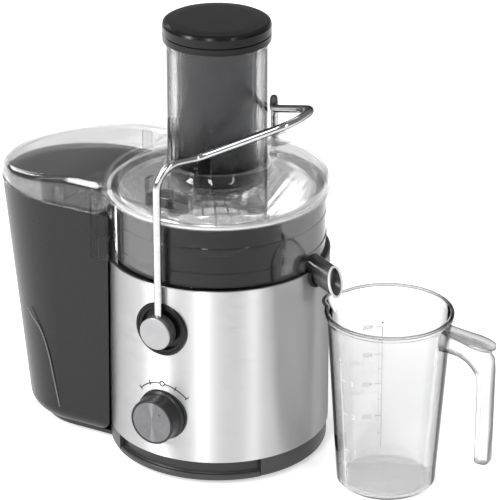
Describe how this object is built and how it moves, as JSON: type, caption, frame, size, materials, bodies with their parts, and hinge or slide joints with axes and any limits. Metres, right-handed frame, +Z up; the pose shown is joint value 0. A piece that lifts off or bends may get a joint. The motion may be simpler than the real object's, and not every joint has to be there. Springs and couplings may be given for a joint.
{
  "type": "centrifugal juicer",
  "caption": "Upright centrifugal juicer with a steel body, clear hooded lid and feed chute, locking bail, pulp container at one side and a clear juice jug under the spout.",
  "frame": {"origin": "table level, in the middle of the whole set's outline in plan; the motor axis stands 28.5 mm towards -X and 3.5 mm towards +Y of it", "axes": "+Z up, controls face -Y, spout and jug towards +X, pulp container towards -X"},
  "size_m": [0.489, 0.231, 0.4033],
  "materials": {
    "black_plastic": "satin moulded",
    "gloss_black": "polished",
    "charcoal_plastic": "satin moulded",
    "black_rubber": "matt",
    "silicone": "soft, translucent white",
    "brushed_steel": "fine vertical brushing",
    "polished_steel": "polished",
    "spun_metal": "spun rings",
    "stainless_mesh": "bright etched mesh",
    "bearing_steel": "ground",
    "zinc_steel": "zinc plated",
    "lamination": "varnished laminations",
    "die_cast": "die cast",
    "copper_wire": "enamelled copper, brass stands in for copper",
    "carbon": "pressed carbon",
    "board_green": "solder mask",
    "dark_print": "printed",
    "clear_plastic": "clear, polished",
    "smoky_clear": "smoky clear, polished",
    "dark_clear": "dark smoky clear"
  },
  "bodies": {
    "base": {"base_tray": "black_plastic", "rubber_feet": "black_rubber", "base_screws": "zinc_steel", "motor_housing": "black_plastic", "steel_sleeve": "brushed_steel", "spout_grommet": "black_rubber", "front_bezel": "gloss_black", "rear_bezel": "gloss_black", "knob_seat": "black_plastic", "dial_marks": "dark_print", "speed_switch": "black_plastic", "cord_grommet": "black_rubber", "circuit_board": "board_green", "interlock_switch": "black_plastic", "motor_stator": "lamination", "stator_coils": "copper_wire", "lower_bracket": "die_cast", "upper_bracket": "die_cast", "lower_bearing": "bearing_steel", "upper_bearing": "bearing_steel", "motor_bolts": "zinc_steel", "motor_mounts": "black_rubber", "brush_holders": "black_plastic", "carbon_brushes": "carbon", "shaft_seal": "black_rubber"},
    "rotor": {"motor_shaft": "bearing_steel", "rotor_core": "lamination", "rotor_windings": "copper_wire", "commutator": "copper_wire", "cooling_fan": "black_plastic", "drive_coupling": "black_plastic"},
    "plunger": {"interlock_plunger": "black_plastic"},
    "bail": {"bail_rod": "polished_steel", "front_hub": "polished_steel", "rear_hub": "polished_steel", "front_pin": "bearing_steel", "rear_pin": "bearing_steel"},
    "knob": {"knob_skirt": "gloss_black", "knob_face": "spun_metal", "knob_spindle": "bearing_steel"},
    "bowl": {"juice_bowl": "smoky_clear", "bowl_seal": "silicone"},
    "basket": {"basket_mesh": "stainless_mesh", "basket_rim": "stainless_mesh", "grater_disc": "stainless_mesh", "basket_hub": "smoky_clear"},
    "lid": {"lid_cover": "clear_plastic", "lid_hood": "clear_plastic", "feed_chute": "clear_plastic", "lid_gasket": "silicone"},
    "pusher": {"pusher_body": "dark_clear", "pusher_cap": "gloss_black"},
    "container": {"pulp_container": "charcoal_plastic"},
    "jug": {"jug_shell": "clear_plastic", "jug_handle": "clear_plastic"}
  },
  "joints": [
    {"name": "motor_spin", "type": "hinge", "parent": "base", "child": "rotor", "pos_m": [-0.0285, 0.0035, 0.1], "axis": [0, 0, 1], "continuous": true},
    {"name": "bail_swing", "type": "hinge", "parent": "base", "child": "bail", "pos_m": [-0.0285, 0.0035, 0.149], "axis": [0, 1, 0], "range_deg": [0, 55]},
    {"name": "knob_turn", "type": "hinge", "parent": "base", "child": "knob", "pos_m": [-0.0285, -0.1065, 0.066], "axis": [0, -1, 0], "range_deg": [-50, 50]},
    {"name": "plunger_travel", "type": "slide", "parent": "base", "child": "plunger", "axis": [0, 0, 1], "range_m": [-0.003, 0], "stiffness_N_per_m": 250, "springref_m": 0.002},
    {"name": "bowl_lift", "type": "slide", "parent": "base", "child": "bowl", "axis": [0, 0, 1], "range_m": [0, 0.008]},
    {"name": "basket_spin", "type": "hinge", "parent": "bowl", "child": "basket", "pos_m": [-0.0285, 0.0035, 0.21], "axis": [0, 0, 1], "continuous": true},
    {"name": "lid_lift", "type": "slide", "parent": "bowl", "child": "lid", "axis": [0, 0, 1], "range_m": [0, 0.012]},
    {"name": "pusher_slide", "type": "slide", "parent": "lid", "child": "pusher", "axis": [0, 0, 1], "range_m": [0, 0.136]},
    {"name": "container_slide", "type": "slide", "parent": "base", "child": "container", "axis": [-1, 0, 0], "range_m": [0, 0.12]},
    {"name": "jug_slide", "type": "slide", "parent": "base", "child": "jug", "axis": [1, 0, 0], "range_m": [0, 0.12]}
  ],
  "couplings": [
    {"joint": "basket_spin", "follows": "motor_spin", "ratio": 1}
  ]
}
